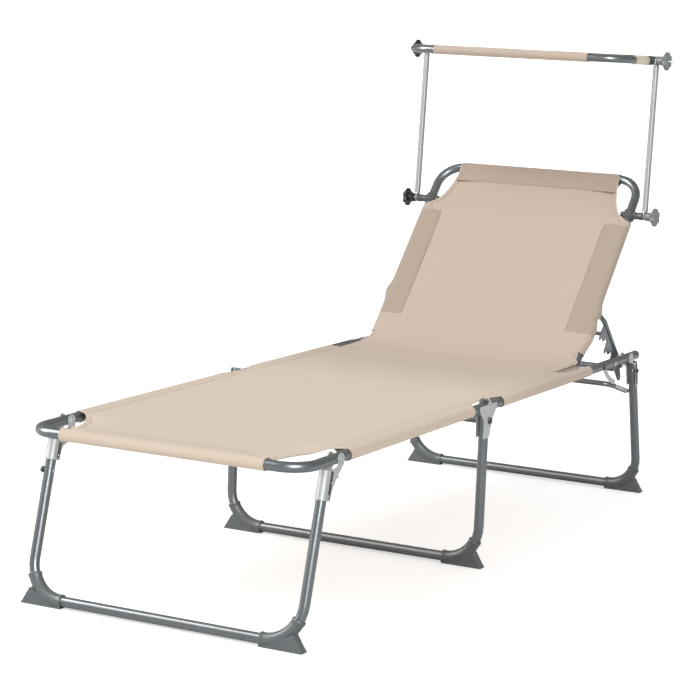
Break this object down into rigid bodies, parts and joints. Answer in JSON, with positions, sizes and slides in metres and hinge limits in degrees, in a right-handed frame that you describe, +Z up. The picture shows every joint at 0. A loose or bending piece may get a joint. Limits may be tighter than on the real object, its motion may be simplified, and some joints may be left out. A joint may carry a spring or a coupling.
{
  "type": "folding sun lounger with canopy",
  "caption": "Folding tube-frame sun lounger with stretched cloth, reclining back, three folding U legs and a small tilting canopy hoop on two arms.",
  "frame": {"origin": "bottom centre of the bounding box, on the floor the feet stand on", "axes": "+Z up, +Y towards the head end, +X to the right side seen from the foot end"},
  "size_m": [0.664, 1.767, 1.0226],
  "materials": {
    "tube": "satin powder coat",
    "zinc": "bright zinc plate",
    "arm": "bright",
    "foot": "moulded matte",
    "joint": "moulded matte",
    "knob": "moulded satin",
    "dark_knob": "moulded satin",
    "cloth": "plain woven",
    "back_cloth": "plain woven",
    "bolt": "bright zinc plate"
  },
  "bodies": {
    "root": {"seat_rail_right": "tube", "seat_rail_left": "tube", "rail_end_cap_right": "foot", "rail_end_cap_left": "foot", "rear_cross_tube": "tube", "middle_cross_tube": "tube", "middle_bracket_right": "zinc", "middle_bracket_left": "zinc", "fold_hinge_pin_right": "zinc", "fold_hinge_pin_left": "zinc", "seat_fabric": "cloth", "middle_bolt_right": "joint", "middle_bolt_left": "joint", "rear_pivot_pin_right": "zinc", "rear_pivot_pin_left": "zinc", "back_pivot_pin_right": "zinc", "back_pivot_pin_left": "zinc"},
    "foot_section": {"foot_frame": "tube", "foot_fabric": "cloth", "front_pivot_pin_right": "zinc", "front_pivot_pin_left": "zinc"},
    "front_leg": {"front_leg": "tube", "front_foot_right": "foot", "front_foot_left": "foot", "front_bracket_right": "zinc", "front_bracket_left": "zinc"},
    "middle_leg": {"middle_leg": "tube", "middle_foot_right": "foot", "middle_foot_left": "foot"},
    "rear_leg": {"rear_leg": "tube", "rear_foot_right": "foot", "rear_foot_left": "foot", "rear_bracket_right": "zinc", "rear_bracket_left": "zinc"},
    "rear_stay": {"rear_stay": "tube"},
    "stay_links": {"stay_link_right": "zinc", "stay_link_left": "zinc"},
    "backrest": {"back_frame": "tube", "back_fabric": "back_cloth", "canopy_clamp_right": "joint", "canopy_clamp_left": "joint", "clamp_bolt_right": "bolt", "clamp_bolt_left": "bolt", "strut_pin_right": "zinc", "strut_pin_left": "zinc"},
    "struts": {"strut_right": "tube", "strut_left": "tube", "strut_tie_rod": "tube"},
    "canopy_arms": {"canopy_arm_right": "arm", "canopy_arm_left": "arm", "hoop_bolt_right": "bolt", "hoop_bolt_left": "bolt"},
    "canopy": {"canopy_hoop": "arm", "canopy_fabric": "cloth", "hoop_joint_right": "joint", "hoop_joint_left": "joint"},
    "clamp_knob_right": {"clamp_knob_right": "knob"},
    "clamp_knob_left": {"clamp_knob_left": "dark_knob"},
    "hoop_knob_right": {"hoop_knob_right": "knob"},
    "hoop_knob_left": {"hoop_knob_left": "dark_knob"}
  },
  "joints": [
    {"name": "foot_fold", "type": "hinge", "parent": "root", "child": "foot_section", "pos_m": [0, -0.12832, 0.3453], "axis": [1, 0, 0], "range_deg": [-150, 0]},
    {"name": "front_leg_fold", "type": "hinge", "parent": "foot_section", "child": "front_leg", "pos_m": [0, -0.75132, 0.332], "axis": [1, 0, 0], "range_deg": [0, 95]},
    {"name": "middle_leg_fold", "type": "hinge", "parent": "root", "child": "middle_leg", "pos_m": [0, -0.13062, 0.305], "axis": [1, 0, 0], "range_deg": [0, 81]},
    {"name": "rear_leg_fold", "type": "hinge", "parent": "root", "child": "rear_leg", "pos_m": [0, 0.62268, 0.332], "axis": [1, 0, 0], "range_deg": [-95, 0]},
    {"name": "rear_stay_turn", "type": "hinge", "parent": "rear_leg", "child": "rear_stay", "pos_m": [0, 0.66793, 0.24772], "axis": [1, 0, 0], "range_deg": [0, 120.3]},
    {"name": "stay_links_turn", "type": "hinge", "parent": "root", "child": "stay_links", "pos_m": [0, 0.51268, 0.332], "axis": [1, 0, 0], "range_deg": [-122.6, 0]},
    {"name": "backrest_recline", "type": "hinge", "parent": "root", "child": "backrest", "pos_m": [0, 0.41068, 0.332], "axis": [1, 0, 0], "range_deg": [-48.4, 0]},
    {"name": "struts_turn", "type": "hinge", "parent": "backrest", "child": "struts", "pos_m": [0, 0.5116, 0.44566], "axis": [1, 0, 0], "range_deg": [0, 97]},
    {"name": "canopy_arms_tilt", "type": "hinge", "parent": "backrest", "child": "canopy_arms", "pos_m": [0, 0.69285, 0.64981], "axis": [1, 0, 0], "range_deg": [-45, 75]},
    {"name": "canopy_tilt", "type": "hinge", "parent": "canopy_arms", "child": "canopy", "pos_m": [0, 0.71885, 1.00386], "axis": [1, 0, 0], "range_deg": [-60, 90]},
    {"name": "clamp_knob_right_turn", "type": "hinge", "parent": "backrest", "child": "clamp_knob_right", "pos_m": [0, 0.69285, 0.64981], "axis": [1, 0, 0], "continuous": true},
    {"name": "clamp_knob_left_turn", "type": "hinge", "parent": "backrest", "child": "clamp_knob_left", "pos_m": [0, 0.69285, 0.64981], "axis": [1, 0, 0], "continuous": true},
    {"name": "hoop_knob_right_turn", "type": "hinge", "parent": "canopy_arms", "child": "hoop_knob_right", "pos_m": [0, 0.71885, 1.00386], "axis": [1, 0, 0], "continuous": true},
    {"name": "hoop_knob_left_turn", "type": "hinge", "parent": "canopy_arms", "child": "hoop_knob_left", "pos_m": [0, 0.71885, 1.00386], "axis": [1, 0, 0], "continuous": true}
  ],
  "couplings": [
    {"joint": "rear_stay_turn", "follows": "rear_leg_fold", "ratio": -1.256},
    {"joint": "stay_links_turn", "follows": "rear_leg_fold", "ratio": 1.28},
    {"joint": "struts_turn", "follows": "backrest_recline", "ratio": -1.975}
  ]
}
